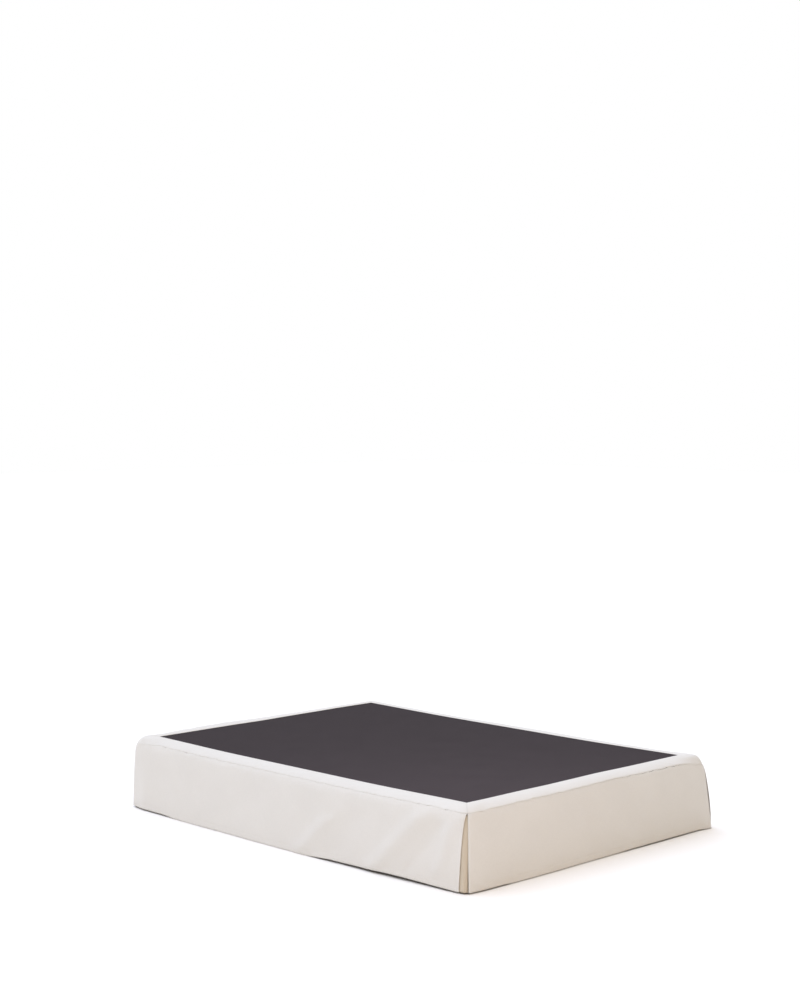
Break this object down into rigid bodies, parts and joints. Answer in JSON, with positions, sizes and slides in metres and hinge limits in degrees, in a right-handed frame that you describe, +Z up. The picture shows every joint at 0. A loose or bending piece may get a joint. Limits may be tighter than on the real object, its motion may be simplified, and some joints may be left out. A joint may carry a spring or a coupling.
{
  "type": "box spring with a fitted box spring cover",
  "caption": "Bed base with a tailored cloth cover: dark top panel, pale border, straight drops to the floor and a split corner pleat with a backing insert at each corner.",
  "frame": {"origin": "on the floor, under the middle of the box spring", "axes": "+Y along the length towards the head, +X across the width towards the right side, +Z up"},
  "size_m": [1.4452, 1.931, 0.295],
  "materials": {
    "spring_ticking": "black base cloth of the box spring",
    "panel_cloth": "matt charcoal brown cloth",
    "cover_cloth": "off-white plain-woven cotton",
    "insert_cloth": "the cover's cotton, warm in the shade of the slit"
  },
  "bodies": {
    "root": {"box_spring": "spring_ticking", "centre_panel": "panel_cloth", "border_left": "cover_cloth", "border_foot": "cover_cloth", "border_right": "cover_cloth", "border_head": "cover_cloth", "drop_left": "cover_cloth", "drop_foot": "cover_cloth", "drop_right": "cover_cloth", "drop_head": "cover_cloth", "insert_foot_left": "insert_cloth", "insert_foot_right": "insert_cloth", "insert_head_right": "insert_cloth", "insert_head_left": "insert_cloth"}
  },
  "joints": []
}
